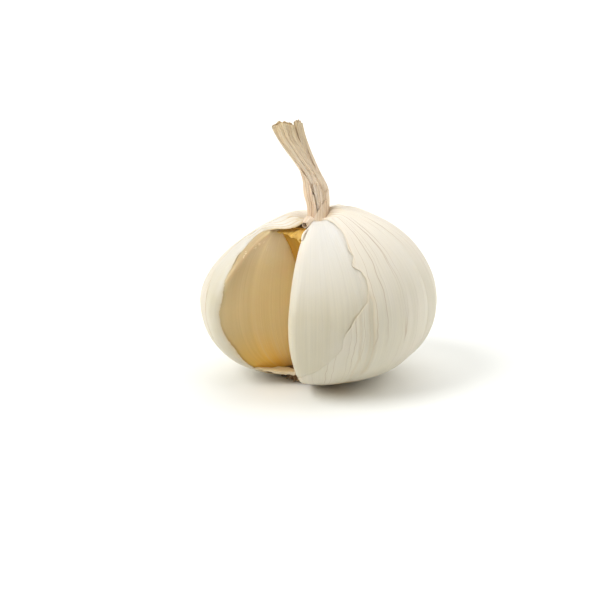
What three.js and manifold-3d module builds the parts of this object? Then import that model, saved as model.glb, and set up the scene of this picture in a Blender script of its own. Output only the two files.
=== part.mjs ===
// A bulb of garlic with one clove taken out, standing on its basal plate.
// Millimetres, +Z up. The origin is the centre of the basal plate's flat underside.
// Azimuths are degrees about +Z, from the front (-Y) towards the right (+X).
import * as THREE from 'three';
import { LoftGeometry } from 'three/addons/geometries/LoftGeometry.js';
import { mergeVertices } from 'three/addons/utils/BufferGeometryUtils.js';
import Module from 'manifold-3d';

const wasm = await Module();
wasm.setup();

// Driving dimensions.
const bulb = { radius: 30, height: 44, widest: 20 };
const crown = { power: 1.82, root: 1.33, dip: 2.6, dipFrom: 2, dipTo: 9 }; // outline above the widest height
// The crown's shoulder is rounder at the right, between these azimuths, except close to the neck.
const fuller = { power: 2, root: 2, from: 0, whole: 60, fades: 130, ends: 200, neckPower: 40 };
const seat = { power: 2.12, root: 2.46 }; // outline below the widest height
const lobe = { depth: 0.03, power: 4 }; // valleys between the cloves
const clearance = 0.3; // kept between any two pieces
const skin = 0.45; // thickness of a papery layer
const layerGap = 0.34; // between two papery layers, whose flat facets come a little closer than this
const cloveInset = 1.9; // cloves lie this far inside the bulb's outline
const clove = { base: 2.9, top: 38.8, inner: 3, lean: 4.5, softness: 7, basePower: 6 };
const tip = { power: 4, sidePower: 4, pivot: 0.62 }; // how a clove rounds off, towards a point near its back
const plate = { foot: 8.5, rim: 9.4, height: 2.6, stubs: 18, stubRadius: 0.45, stubLength: 1.1 };
const stalk = { foot: 2.2, top: 1.9, from: 3, to: 40.2 };
const baseHole = 10.7; // the skin ends round the basal plate at this radius
const neckHole = 3.8; // and round the neck at this one

// Azimuths where each clove starts and ends, from the empty pocket's right side round to its left.
const cloves = [
  { name: 'clove_front', from: -14.5, to: 22 },
  { name: 'clove_front_right', from: 22, to: 66 },
  { name: 'clove_right', from: 66, to: 112 },
  { name: 'clove_back_right', from: 112, to: 160 },
  { name: 'clove_back', from: 160, to: 208 },
  { name: 'clove_back_left', from: 208, to: 254 },
  { name: 'clove_left', from: 254, to: 301 },
];

// Torn edges, as azimuth and elevation seen from the middle of the bulb.
const skinOpening = [
  [-60, -68], [-57, -31], [-58, -12], [-63, 4], [-73, 18], [-84, 32], [-88, 43], [-56, 62], [-20, 68],
  [4, 74], [8, 59], [12, 41], [16, 22], [19, 8], [17, -4], [12, -14], [3, -23], [-8, -31], [-14, -37],
  [-14, -68],
];
const innerSkinOutline = [[-14, -52], [32, -44], [34, 20], [28, 50], [12, 72], [-12, 66], [-14, 20]];
const leftSkinOutline = [
  [-60, -58], [-57, -31], [-58, -12], [-60, 4], [-66, 22], [-80, 43], [-64, 53], [-48, 59], [-30, 68],
  [-70, 72], [-108, 56], [-116, 20], [-114, -20], [-100, -54],
];
const membraneOutline = [
  [-46, 56], [-40, 50], [-35, 45], [-28, 49], [-22, 42], [-17, 47], [-16, 66], [-25, 66],
];

// Sections of the dried neck, upwards: centre x, y, z, half width, half depth, and turn in degrees.
const neckMain = [
  [-0.3, -0.2, 40.8, 3, 2.8, 0], [-0.2, -0.4, 43.4, 2.6, 2.3, 5], [-0.3, -0.5, 46.5, 2.7, 2.1, 8],
  [-0.9, -0.6, 49.5, 2.4, 1.8, 10], [-2.1, -0.6, 52, 2.2, 1.5, 12], [-3.9, -0.7, 54.8, 2.2, 1.4, 12],
  [-5.8, -0.7, 58, 2.6, 1.3, 10], [-7.4, -0.7, 61.2, 3, 1.2, 8], [-8.3, -0.7, 64.2, 3.3, 1.1, 6],
];
const neckBack = [
  [1.4, 3.3, 42.6, 1.5, 0.8, -25], [1.2, 3.1, 46.3, 1.5, 0.9, -20], [0.7, 2.6, 48.7, 1.5, 0.9, -10],
  [-0.8, 2.3, 51.8, 1.3, 0.9, 0], [-2.3, 2.1, 55, 1.3, 0.9, 8], [-3.5, 2, 58, 1.3, 0.9, 12],
  [-4.6, 1.8, 61.4, 1.4, 0.8, 14], [-5.1, 1.6, 64.4, 1.5, 0.8, 14],
];
const neckSide = [
  [-3.5, -2.3, 42.6, 1.1, 0.5, -58], [-3.5, -2.5, 46, 1, 0.5, -56], [-3.8, -2.1, 49.2, 0.8, 0.4, -54],
  [-4.6, -1.9, 52.2, 0.5, 0.3, -50],
];
const neckCollar = { radius: 3.4, flare: 5.1, from: 42.5, to: 46.9, thickness: 0.5, left: -31, right: 50 };

const finish = {
  plate: { color: 0x8a6f55, roughness: 0.95, metalness: 0 },
  stalk: { color: 0xc9ad86, roughness: 0.85, metalness: 0 },
  clove: { color: 0xbb9c6a, roughness: 0.6, metalness: 0 },
  outerSkin: { color: 0xe6dcc8, roughness: 0.75, metalness: 0 },
  innerSkin: { color: 0xf2ebdc, roughness: 0.7, metalness: 0 },
  membrane: { color: 0xa9743f, roughness: 0.8, metalness: 0 },
  neck: { color: 0xcdb08a, roughness: 0.85, metalness: 0 },
};

const radians = THREE.MathUtils.degToRad;
const polar = (azimuth, radius, z) =>
  new THREE.Vector3(radius * Math.sin(radians(azimuth)), -radius * Math.cos(radians(azimuth)), z);

// How far the outline sinks between two cloves, as a share of the radius.
function valley(azimuth) {
  const turn = THREE.MathUtils.euclideanModulo(azimuth - cloves[0].from, 360) + cloves[0].from;
  const here = cloves.find((c) => turn < c.to);
  if (!here) return 0;
  const across = (2 * (turn - here.from)) / (here.to - here.from) - 1;
  return lobe.depth * Math.abs(across) ** lobe.power;
}

// How much of its rounder right shoulder the crown has at an azimuth.
function fullness(azimuth) {
  const turn = THREE.MathUtils.euclideanModulo(azimuth, 360);
  const { from, whole, fades, ends } = fuller;
  return THREE.MathUtils.smoothstep(turn, from, whole) * (1 - THREE.MathUtils.smoothstep(turn, fades, ends));
}

// Radius of the bulb's outline at a height, on a surface that lies an inset inside the outer one.
function bulbRadius(z, inset, full) {
  const above = z > bulb.widest;
  const reach = above ? bulb.height - bulb.widest : bulb.widest;
  const share = Math.min(1, Math.abs(z - bulb.widest) / (reach - inset));
  const rounder = full * (1 - share ** fuller.neckPower);
  const power = above ? THREE.MathUtils.lerp(crown.power, fuller.power, rounder) : seat.power;
  const root = above ? THREE.MathUtils.lerp(crown.root, fuller.root, rounder) : seat.root;
  return (bulb.radius - inset) * (1 - share ** power) ** (1 / root);
}

// The crown of the bulb dips towards the neck.
const crownDip = (radius) => crown.dip * (1 - THREE.MathUtils.smoothstep(radius, crown.dipFrom, crown.dipTo));

function bulbPoint(azimuth, z, inset) {
  const radius = bulbRadius(z, inset, fullness(azimuth));
  const dip = z > bulb.widest ? crownDip(radius) : 0;
  return polar(azimuth, radius * (1 - valley(azimuth)), z - dip);
}

function solidOf(geometry) {
  const bare = new THREE.BufferGeometry().copy(geometry);
  bare.deleteAttribute('normal');
  bare.deleteAttribute('uv');
  const merged = mergeVertices(bare, 1e-4);
  return new wasm.Manifold(new wasm.Mesh({
    numProp: 3,
    vertProperties: merged.attributes.position.array,
    triVerts: new Uint32Array(merged.index.array),
  }));
}

function geometryOf(solid) {
  const mesh = solid.getMesh();
  const geometry = new THREE.BufferGeometry();
  geometry.setAttribute('position', new THREE.BufferAttribute(mesh.vertProperties, 3));
  geometry.setIndex(new THREE.BufferAttribute(mesh.triVerts, 1));
  return geometry;
}

// Steps from low to high that lie closer together at both ends.
const levels = (count, low, high) => Array.from({ length: count }, (_, i) =>
  low + (high - low) * (0.5 - 0.5 * Math.cos((Math.PI * (i + 0.5)) / count)));

const turns = (count) => Array.from({ length: count }, (_, i) => (360 * i) / count);

const loft = (sections) => new LoftGeometry(sections, { capStart: true, capEnd: true });

const lathe = (profile, segments) =>
  new THREE.LatheGeometry(profile.map(([r, z]) => new THREE.Vector2(r, z)), segments).rotateX(Math.PI / 2);

// The whole bulb's outline as one solid, an inset inside the outer surface.
const bulbSolid = (inset) => solidOf(loft(levels(26, inset, bulb.height - inset).map((z) =>
  turns(60).map((azimuth) => bulbPoint(azimuth, z, inset)))));

const layer = (inset) => bulbSolid(inset).subtract(bulbSolid(inset + skin));

// A wedge from the middle of the bulb outwards through an outline.
function wedge(outline) {
  const [near, far] = [4, 70];
  const shape = new THREE.Shape(outline.map(([azimuth, elevation]) => new THREE.Vector2(azimuth, elevation)));
  const geometry = new THREE.ExtrudeGeometry(shape, { depth: 1, bevelEnabled: false });
  const position = geometry.attributes.position;
  for (let i = 0; i < position.count; i++) {
    const reach = position.getZ(i) > 0.5 ? far : near;
    const elevation = radians(position.getY(i));
    const height = bulb.widest + reach * Math.sin(elevation);
    const point = polar(position.getX(i), reach * Math.cos(elevation), height);
    position.setXYZ(i, point.x, point.y, point.z);
  }
  return solidOf(geometry);
}

function basalPlate() {
  const { foot, rim, height, stubs, stubRadius, stubLength } = plate;
  let solid = solidOf(lathe([
    [0, 0], [foot, 0], [rim, 0.7], [rim, height - 0.6], [rim - 1.2, height], [0, height],
  ], 40));
  for (const [i, azimuth] of turns(stubs).entries()) {
    const root = new THREE.CylinderGeometry(stubRadius * 0.7, stubRadius, stubLength * 2, 6);
    root.translate(0, -rim + 0.2, 1.1 + 0.35 * (i % 2));
    root.rotateZ(radians(azimuth));
    solid = solid.add(solidOf(root));
  }
  return geometryOf(solid);
}

const centralStalk = () =>
  lathe([[0, stalk.from], [stalk.foot, stalk.from], [stalk.top, stalk.to], [0, stalk.to]], 16);

// One level of a clove: a soft minimum over its four sides, drawn in towards its ends.
function cloveSection({ from, to }, z) {
  const middle = (from + to) / 2;
  const half = radians(to - from) / 2;
  const outer = bulbRadius(z, cloveInset, Math.min(fullness(from), fullness(to)));
  const inner = clove.inner + clove.lean * THREE.MathUtils.smoothstep(z, bulb.widest, clove.top);
  const centre = (outer + inner) / 2;
  const along = (2 * (z - clove.base)) / (clove.top - clove.base) - 1;
  const shrink = (power) => (1 - Math.abs(along) ** power) ** (1 / power);
  const narrow = shrink(along < 0 ? clove.basePower : tip.sidePower);
  const draw = shrink(along < 0 ? clove.basePower : tip.power);
  const pivot = along < 0 ? centre : inner + (outer - inner) * (0.5 + (tip.pivot - 0.5) * along);
  return turns(20).map((angle) => {
    const [out, side] = [Math.cos(radians(angle)), Math.sin(radians(angle))];
    const towardsFlank = Math.abs(side) * Math.cos(half) - out * Math.sin(half);
    const flank = (centre * Math.sin(half) - clearance / 2) / towardsFlank;
    const back = (centre - inner) / -out;
    const front = -centre * out + Math.sqrt((centre * out) ** 2 - centre ** 2 + outer ** 2);
    const ahead = [flank, back, front].filter((distance) => distance > 0);
    const sum = ahead.reduce((total, distance) => total + distance ** -clove.softness, 0);
    const reach = sum ** (-1 / clove.softness);
    const [x, y] = [reach * side * narrow, pivot + (centre + reach * out - pivot) * draw];
    return polar(middle + THREE.MathUtils.radToDeg(Math.atan2(x, y)), Math.hypot(x, y), z);
  });
}

const cloveGeometry = (here) => loft(levels(14, clove.base, clove.top).map((z) => cloveSection(here, z)));

function outerSkin() {
  const bottom = new THREE.CylinderGeometry(baseHole, baseHole, 6, 48).rotateX(Math.PI / 2);
  const top = new THREE.CylinderGeometry(neckHole, neckHole, 12, 30).rotateX(Math.PI / 2);
  top.translate(0, 0, bulb.height);
  return geometryOf(layer(0).subtract(wedge(skinOpening)).subtract(solidOf(bottom)).subtract(solidOf(top)));
}

const patch = (inset, outline) => geometryOf(layer(inset).intersect(wedge(outline)));

// A dried strand of the neck: flattened oval sections along a smooth path.
function strand(stations) {
  const curve = (pick) => new THREE.CatmullRomCurve3(stations.map((s) => new THREE.Vector3(...pick(s))));
  const centre = curve((s) => s.slice(0, 3));
  const size = curve((s) => s.slice(3));
  const up = new THREE.Vector3(0, 0, 1);
  const steps = 2 * (stations.length - 1);
  return loft(Array.from({ length: steps + 1 }, (_, i) => {
    const at = centre.getPoint(i / steps);
    const { x: wide, y: deep, z: turn } = size.getPoint(i / steps);
    return turns(14).map(radians).map((angle) =>
      new THREE.Vector3(wide * Math.cos(angle), deep * Math.sin(angle), 0).applyAxisAngle(up, radians(turn)).add(at));
  }));
}

// The pointed scale of skin that wraps the foot of the neck.
function collarGeometry() {
  const { radius, flare, from, to, thickness, left, right } = neckCollar;
  const shape = new THREE.Shape();
  shape.moveTo(left, from);
  shape.lineTo(right, from);
  shape.quadraticCurveTo(right / 3, from + 1, right / 6, to);
  shape.quadraticCurveTo(left / 3, from + 1.5, left, from);
  const geometry = new THREE.ExtrudeGeometry(shape, { depth: 1, bevelEnabled: false, curveSegments: 8 });
  const position = geometry.attributes.position;
  for (let i = 0; i < position.count; i++) {
    const rise = (position.getY(i) - from) / (to - from);
    const spread = radius + (flare - radius) * (1 - rise) ** 2 + thickness * position.getZ(i);
    const point = polar(position.getX(i), spread, position.getY(i));
    position.setXYZ(i, point.x, point.y, point.z);
  }
  return geometryOf(solidOf(geometry));
}

function piece(name, geometry, look) {
  const mesh = new THREE.Mesh(geometry, new THREE.MeshStandardMaterial(look));
  mesh.name = name;
  return mesh;
}

const garlic = new THREE.Group();
garlic.add(
  piece('basal_plate', basalPlate(), finish.plate),
  piece('central_stalk', centralStalk(), finish.stalk),
  ...cloves.map((here) => piece(here.name, cloveGeometry(here), finish.clove)),
  piece('inner_skin', patch(skin + layerGap, innerSkinOutline), finish.innerSkin),
  piece('inner_skin_left', patch(skin + layerGap, leftSkinOutline), finish.innerSkin),
  piece('pocket_membrane', patch(skin + layerGap, membraneOutline), finish.membrane),
  piece('outer_skin', outerSkin(), finish.outerSkin),
  piece('neck_main', strand(neckMain), finish.neck),
  piece('neck_back', strand(neckBack), finish.neck),
  piece('neck_side', strand(neckSide), finish.neck),
  piece('neck_collar', collarGeometry(), finish.neck),
);

export default garlic;
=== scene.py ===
import math
import bpy
from mathutils import Matrix, Vector, noise


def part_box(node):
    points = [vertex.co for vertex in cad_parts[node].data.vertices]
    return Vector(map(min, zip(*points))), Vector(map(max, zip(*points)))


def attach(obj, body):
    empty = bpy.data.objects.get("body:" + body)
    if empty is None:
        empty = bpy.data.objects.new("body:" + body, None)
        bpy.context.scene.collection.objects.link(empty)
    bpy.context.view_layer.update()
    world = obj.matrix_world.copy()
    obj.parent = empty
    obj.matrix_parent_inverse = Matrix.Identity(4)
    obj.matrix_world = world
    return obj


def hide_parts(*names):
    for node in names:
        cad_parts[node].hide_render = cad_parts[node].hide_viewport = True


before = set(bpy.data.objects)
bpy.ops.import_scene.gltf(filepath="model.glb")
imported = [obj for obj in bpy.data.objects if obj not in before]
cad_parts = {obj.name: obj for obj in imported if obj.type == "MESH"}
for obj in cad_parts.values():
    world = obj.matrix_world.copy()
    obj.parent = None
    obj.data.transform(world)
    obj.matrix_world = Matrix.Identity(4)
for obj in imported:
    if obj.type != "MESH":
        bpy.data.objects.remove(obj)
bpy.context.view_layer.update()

# Lengths below are in millimetres and angles in degrees, turned into metres when a mesh is made.
# Azimuth runs round +Z from the front (-Y) towards the right (+X).
# Meridian runs from 0 at the neck over 90 at the widest height to 180 under the root plate.
mm = 0.001


def span(node):
    low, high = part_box(node)
    return low / mm, high / mm


skinLow, skinHigh = span("outer_skin")
plateLow, plateHigh = span("basal_plate")
stalkLow, stalkHigh = span("central_stalk")

bulb = {
    "radius": (skinHigh.x - skinLow.x) / 2,
    "crown": 44.0,          # where the outline would meet the axis, before the dip at the neck
    "widest": 20.0,         # height of the widest ring
    # the outline's curve above that ring, on the rounder shoulder at the right, and below it
    "crownPower": 1.82, "crownRoot": 1.33,
    "fullPower": 2.0, "fullRoot": 2.0, "fullNeckPower": 40.0,
    "seatPower": 2.12, "seatRoot": 2.46,
    # how far the crown dips round the neck, and the radii between which that runs out
    "dip": 2.6, "dipFrom": 2.0, "dipTo": 9.0,
    # how far the outline sinks between cloves, as a share of its radius, and where that runs out (meridians)
    "valley": 0.03, "valleyPower": 4.0, "valleyTop": (0, 40), "valleyFoot": (180, 140),
    "cornerShare": 0.2,     # a clove's corner is no rounder than this share of the bulb's radius
}

# where one clove ends and the next starts, from the pocket's right side round to its left
cloveSides = [-14.5, 22, 66, 112, 160, 208, 254, 301]
cloveNodes = {
    "frontClove": "clove_front", "frontRightClove": "clove_front_right", "rightClove": "clove_right",
    "backRightClove": "clove_back_right", "backClove": "clove_back", "backLeftClove": "clove_back_left",
    "leftClove": "clove_left",
}


# small helpers

def clamp01(x):
    return min(1.0, max(0.0, x))


def ease(low, high, x):
    t = clamp01((x - low) / (high - low))
    return t * t * (3 - 2 * t)


def mix(a, b, t):
    return a + (b - a) * t


def hump(x, centre, width):
    return math.exp(-((x - centre) / width) ** 2)


def near(distance, reach, strength=1.0):
    # the strength at an edge, and less the further away from it
    return strength * math.exp(-distance / reach)


def bands(x, spans):
    # a span holds where it starts, where it is whole and its strength there
    return sum(strength * ease(none, whole, x) for none, whole, strength in spans)


def follow(points, x):
    # a line through (x, y) points, level before the first and after the last
    if x <= points[0][0]:
        return points[0][1]
    for (x0, y0), (x1, y1) in zip(points, points[1:]):
        if x <= x1:
            return mix(y0, y1, (x - x0) / (x1 - x0))
    return points[-1][1]


def followSoft(points, x, reach):
    return sum(follow(points, x + k * reach) for k in (-1, -0.5, 0, 0.5, 1)) / 5


def wobble(x, seed, octaves=3):
    return noise.fractal(Vector((x, seed * 7.31, seed * 1.7)), 1.0, 2.0, octaves)


def polar(azimuth, radius, z):
    a = math.radians(azimuth)
    return Vector((radius * math.sin(a), -radius * math.cos(a), z))


def turned(azimuth):
    return (azimuth - cloveSides[0]) % 360 + cloveSides[0]


# the bulb's outline

def fullness(azimuth):
    # how much of the rounder right shoulder there is at an azimuth
    a = azimuth % 360
    return ease(0, 60, a) * ease(200, 130, a)


def outlineRadius(z, inset=0.0, full=0.0):
    above = z > bulb["widest"]
    reach = (bulb["crown"] - bulb["widest"] if above else bulb["widest"]) - inset
    share = clamp01(abs(z - bulb["widest"]) / reach)
    full *= 1 - share ** bulb["fullNeckPower"]
    power = mix(bulb["crownPower"], bulb["fullPower"], full) if above else bulb["seatPower"]
    root = mix(bulb["crownRoot"], bulb["fullRoot"], full) if above else bulb["seatRoot"]
    return (bulb["radius"] - inset) * (1 - share ** power) ** (1 / root)


def crownDip(radius):
    return bulb["dip"] * (1 - ease(bulb["dipFrom"], bulb["dipTo"], radius))


def outlineAt(meridian, inset=0.0, azimuth=0.0):
    # radius and height on the outline
    c = math.cos(math.radians(meridian))
    reach = (bulb["crown"] - bulb["widest"] if c > 0 else bulb["widest"]) - inset
    z = bulb["widest"] + reach * c
    radius = outlineRadius(z, inset, fullness(azimuth))
    return radius, z - crownDip(radius) if c > 0 else z


def valleyAt(azimuth):
    # how far the outline sinks between two cloves; the pocket's two sides have no neighbour to sink towards
    a = turned(azimuth)
    for start, end in zip(cloveSides, cloveSides[1:]):
        if a < end:
            across = 2 * (a - start) / (end - start) - 1
            beside = (start == cloveSides[0] and across < 0) or (end == cloveSides[-1] and across > 0)
            return 0.0 if beside else bulb["valley"] * abs(across) ** bulb["valleyPower"]
    return 0.0


def sunkRadius(radius, sink, meridian):
    # the valleys run out towards the neck and towards the root plate
    return radius * (1 - sink * ease(*bulb["valleyTop"], meridian) * ease(*bulb["valleyFoot"], meridian))


def bulbPoint(azimuth, meridian, inset=0.0):
    radius, z = outlineAt(meridian, inset, azimuth)
    return polar(azimuth, sunkRadius(radius, valleyAt(azimuth), meridian), z)


def cornerAt(edge, side, radius, corner):
    # a clove's rounded corner: its radius, the azimuth where it ends and the length round it
    corner = min(corner, radius * bulb["cornerShare"])
    return corner, edge + side * math.degrees(corner / radius), corner * math.pi / 2


def wrapRound(edge, side, meridian, run, inset, corner):
    # a point run millimetres along a skin that comes off a clove's flank, rounds its corner and
    # goes on over the bulb, to the right of the edge (side 1) or to its left (side -1)
    radius, z = outlineAt(meridian, inset)
    corner, start, quarter = cornerAt(edge, side, radius, corner)
    if run > quarter:
        azimuth = start + side * math.degrees((run - quarter) / radius)
        sink = valleyAt(azimuth) * ease(start, start + side * 6, azimuth)
        radius, z = outlineAt(meridian, inset, azimuth)
        return polar(azimuth, sunkRadius(radius, sink, meridian), z), azimuth
    outward = polar(start, 1, 0)
    sideways = polar(start - side * 90, 1, 0)
    middle = outward * (radius - corner)
    if run > 0:
        angle = (quarter - run) / corner
        flat = middle + (outward * math.cos(angle) + sideways * math.sin(angle)) * corner
    else:
        flat = middle + sideways * corner + outward * run
    return Vector((flat.x, flat.y, z)), start


# meshes: a sheet holds points, faces, texture coordinates and how much each point is dried and browned, and
# on the cloves and neck how much painted shade it takes

def gridSheet(columns, rows, place, roundTrip=False, flipped=False):
    # place(u, v) gives a point, its texture coordinates, and how dried it is and, on the cloves and neck, its
    # painted shade
    across = columns if roundTrip else columns + 1
    sheet = {"points": [], "faces": [], "coords": [], "dryAndShade": []}
    coords = []
    for j in range(rows + 1):
        for i in range(columns + 1):
            point, uv, dryAndShade = place(i / columns, j / rows)
            coords.append(uv)
            if i < across:
                sheet["points"].append(point)
                sheet["dryAndShade"].append(dryAndShade)
    for j in range(rows):
        for i in range(columns):
            loop = [(i, j), (i, j + 1), (i + 1, j + 1), (i + 1, j)]
            if flipped:
                loop.reverse()
            sheet["faces"].append([row * across + column % across for column, row in loop])
            sheet["coords"].append([coords[row * (columns + 1) + column] for column, row in loop])
    return sheet


def normalsOf(sheet):
    points = sheet["points"]
    normals = [Vector() for _ in points]
    for face in sheet["faces"]:
        a, b, c, d = (points[face[k % len(face)]] for k in range(4))
        across = (c - a).cross(d - b)
        for k in face:
            normals[k] += across
    return [n.normalized() for n in normals]


def thicken(sheet, thickness):
    # a second face behind the first, joined to it round every open edge
    count = len(sheet["points"])
    points, faces, coords = sheet["points"], sheet["faces"], sheet["coords"]
    behind = [p - n * thickness for p, n in zip(points, normalsOf(sheet))]
    seen = {}
    for face, uv in zip(faces, coords):
        for k in range(len(face)):
            nextK = (k + 1) % len(face)
            seen[(face[k], face[nextK])] = (uv[k], uv[nextK])
    rim = [(a, b) for a, b in seen if (b, a) not in seen]
    thick = {
        "points": points + behind,
        "faces": faces + [[v + count for v in reversed(face)] for face in faces],
        "coords": coords + [list(reversed(uv)) for uv in coords],
        "dryAndShade": sheet["dryAndShade"] * 2,
        "sharp": {frozenset(e) for e in rim} | {frozenset((a + count, b + count)) for a, b in rim},
    }
    for a, b in rim:
        uvA, uvB = seen[(a, b)]
        thick["faces"].append([b, a, a + count, b + count])
        thick["coords"].append([uvB, uvA, uvA, uvB])
    return thick


def tube(around, rows, place):
    # a closed skin whose first and last rings are each filled with a fan
    sheet = gridSheet(around, rows, place, True, flipped=True)
    count = len(sheet["points"])
    for ring, upper in ((range(around), False), (range(count - around, count), True)):
        sheet["points"].append(sum((sheet["points"][k] for k in ring), Vector()) / around)
        sheet["dryAndShade"].append(sheet["dryAndShade"][ring[0]])
        hub = len(sheet["points"]) - 1
        for k in range(around):
            a, b = ring[k], ring[(k + 1) % around]
            sheet["faces"].append([b, a, hub] if upper else [a, b, hub])
            sheet["coords"].append([(k / around, 1.0 * upper)] * 3)
    return sheet


def joined(sheets):
    whole = {"points": [], "faces": [], "coords": [], "dryAndShade": [], "sharp": set()}
    for sheet in sheets:
        shift = len(whole["points"])
        whole["faces"] += [[k + shift for k in face] for face in sheet["faces"]]
        whole["sharp"] |= {frozenset(k + shift for k in e) for e in sheet.get("sharp", ())}
        for key in ("points", "coords", "dryAndShade"):
            whole[key] += sheet[key]
    return whole


def addObject(name, data):
    thing = bpy.data.objects.new(name, data)
    bpy.context.scene.collection.objects.link(thing)
    return thing


def piece(name, sheet, material, slot, *nodes):
    mesh = bpy.data.meshes.new(name)
    mesh.from_pydata([p * mm for p in sheet["points"]], [], sheet["faces"])
    layer = mesh.uv_layers.new(name="grain")
    layer.data.foreach_set("uv", [x for corner in sheet["coords"] for uv in corner for x in uv])
    dryAndShade = mesh.attributes.new("dryAndShade", "FLOAT", "POINT")
    dryAndShade.data.foreach_set("value", sheet["dryAndShade"])
    mesh.shade_smooth()
    if sheet.get("sharp"):
        sharp = mesh.attributes.new("sharp_edge", "BOOLEAN", "EDGE")
        sharp.data.foreach_set("value", [frozenset(e.vertices) in sheet["sharp"] for e in mesh.edges])
    mesh.materials.append(material)
    thing = addObject(name, mesh)
    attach(thing, "root")
    if nodes:
        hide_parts(*nodes)


def skinPiece(name, form, place, finish, *nodes, flipped=False):
    # a thin piece, from its form's columns, rows and thickness
    sheet = gridSheet(form["columns"], form["rows"], place, flipped=flipped)
    piece(name, thicken(sheet, form["thickness"]), *finish, *nodes)


# materials

def newMaterial(name, look):
    material = bpy.data.materials.new(name)
    material.use_nodes = True
    tree = material.node_tree
    shader = tree.nodes["Principled BSDF"]
    shader.inputs["Roughness"].default_value = look["roughness"]
    shader.inputs["Specular IOR Level"].default_value = look["specular"]
    shader.inputs["Subsurface Weight"].default_value = look["glow"]
    shader.inputs["Subsurface Radius"].default_value = look["glowReach"]
    shader.inputs["Subsurface Scale"].default_value = mm
    return material, tree, shader


def addNode(tree, kind, **inputs):
    made = tree.nodes.new(kind)
    for key, value in inputs.items():
        made.inputs[key].default_value = value
    return made


def vectorMath(tree, operation, first):
    made = tree.nodes.new("ShaderNodeVectorMath")
    made.operation = operation
    tree.links.new(first, made.inputs[0])
    return made


def grainPlace(tree):
    # the sheet's own coordinates: across it, and along its length
    source = tree.nodes.new("ShaderNodeUVMap")
    source.uv_map = "grain"
    return source.outputs[0]


def grainAt(tree, across, along, place=None):
    # stretched so that a pattern runs along the sheet
    mapping = addNode(tree, "ShaderNodeMapping", Scale=(across, along, 1))
    tree.links.new(grainPlace(tree) if place is None else place, mapping.inputs["Vector"])
    return mapping.outputs["Vector"]


def grainPart(tree, which):
    parts = tree.nodes.new("ShaderNodeSeparateXYZ")
    tree.links.new(grainPlace(tree), parts.inputs[0])
    return parts.outputs[which]


def acrossGrain(tree):
    return grainPart(tree, "X")


def alongGrain(tree):
    return grainPart(tree, "Y")


# how dried and browned each point is, and on the cloves and neck its painted shade
def drynessAndShade(tree):
    made = tree.nodes.new("ShaderNodeAttribute")
    made.attribute_name = "dryAndShade"
    return made.outputs["Fac"]


def objectPlace(tree):
    return tree.nodes.new("ShaderNodeTexCoord").outputs["Object"]


def noiseAt(tree, vector, scale, detail=3.0, roughness=0.55):
    made = addNode(tree, "ShaderNodeTexNoise", Scale=scale, Detail=detail, Roughness=roughness)
    tree.links.new(vector, made.inputs["Vector"])
    return made.outputs["Fac"]


def grainNoise(tree, across, along, detail=2.0, roughness=0.55):
    return noiseAt(tree, grainAt(tree, across, along), 1.0, detail, roughness)


def grainNoises(tree, look, *names):
    return [grainNoise(tree, *look[name + "Grain"]) for name in names]


def ramp(tree, value, *stops):
    made = tree.nodes.new("ShaderNodeValToRGB")
    elements = made.color_ramp.elements
    while len(elements) < len(stops):
        elements.new(0.5)
    for element, (position, colour) in zip(elements, stops):
        element.position = position
        element.color = (*colour, 1)
    tree.links.new(value, made.inputs["Fac"])
    return made.outputs["Color"]


def blend(tree, factor, a, b, how="MIX"):
    made = tree.nodes.new("ShaderNodeMix")
    made.data_type = "RGBA"
    made.blend_type = how
    for value, socket in ((factor, made.inputs[0]), (a, made.inputs[6]), (b, made.inputs[7])):
        if hasattr(value, "links"):
            tree.links.new(value, socket)
        else:
            socket.default_value = value if isinstance(value, float) else (*value, 1)
    return made.outputs[2]


def times(tree, a, b):
    return blend(tree, 1.0, a, b, "MULTIPLY")


def grey(value):
    return (value, value, value)


def fade(tree, value, none, whole, strength=1.0):
    # 0 at none, up to strength at whole
    stops = sorted([(none, grey(0.0)), (whole, grey(strength))])
    return ramp(tree, value, *stops)


def mottle(tree, fine, darkest):
    return ramp(tree, fine, (0.3, grey(darkest)), (0.7, grey(1.0)))


def finishShader(tree, shader, tone, bumps, *heights):
    # the colour, and a bump for each height: its strength, and its depth in millimetres
    tree.links.new(tone, shader.inputs["Base Color"])
    normal = None
    for height, (strength, depth) in zip(heights, bumps):
        made = addNode(tree, "ShaderNodeBump", Strength=strength, Distance=depth * mm)
        tree.links.new(height, made.inputs["Height"])
        if normal is not None:
            tree.links.new(normal, made.inputs["Normal"])
        normal = made.outputs["Normal"]
    tree.links.new(normal, shader.inputs["Normal"])


def veinLines(tree, across, along, width, wander):
    # fine lines that wander along the grain: where a stretched noise passes its middle value
    drift = addNode(tree, "ShaderNodeTexNoise", Scale=3.0, Detail=2.0)
    tree.links.new(grainAt(tree, 6, 3), drift.inputs["Vector"])
    shift = vectorMath(tree, "SCALE", drift.outputs["Color"])
    shift.inputs["Scale"].default_value = wander
    total = vectorMath(tree, "ADD", grainAt(tree, 1, 1))
    tree.links.new(shift.outputs[0], total.inputs[1])
    pattern = noiseAt(tree, grainAt(tree, across, along, total.outputs[0]), 1.0, 1.0, 0.4)
    return ramp(tree, pattern, (0.5 - width, grey(0.0)), (0.5, grey(1.0)), (0.5 + width, grey(0.0)))


# In the looks below a grain is a pattern's scale across and along the skin, its detail and its roughness.
# A value that ends in At is where a tone lies, or where it starts, where it is whole and, if not 1, its
# strength.
skinPattern = {
    "fineGrain": (420, 3, 4.0, 0.6), "broadGrain": (60, 1.6, 3.0, 0.5), "patchGrain": (9, 5, 2.0, 0.5),
    "veinedGrain": (14, 2), "wander": 0.012, "darkest": 0.93,
    "warmAt": (0.35, 0.7), "blushAt": (0.5, 0.78, 0.6), "litShoulderAt": (0.18, 0.46), "veinedAt": (0.38, 0.52),
    "bumps": [(0.25, 0.05), (0.3, 0.12), (0.25, 0.05)],
}
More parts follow.
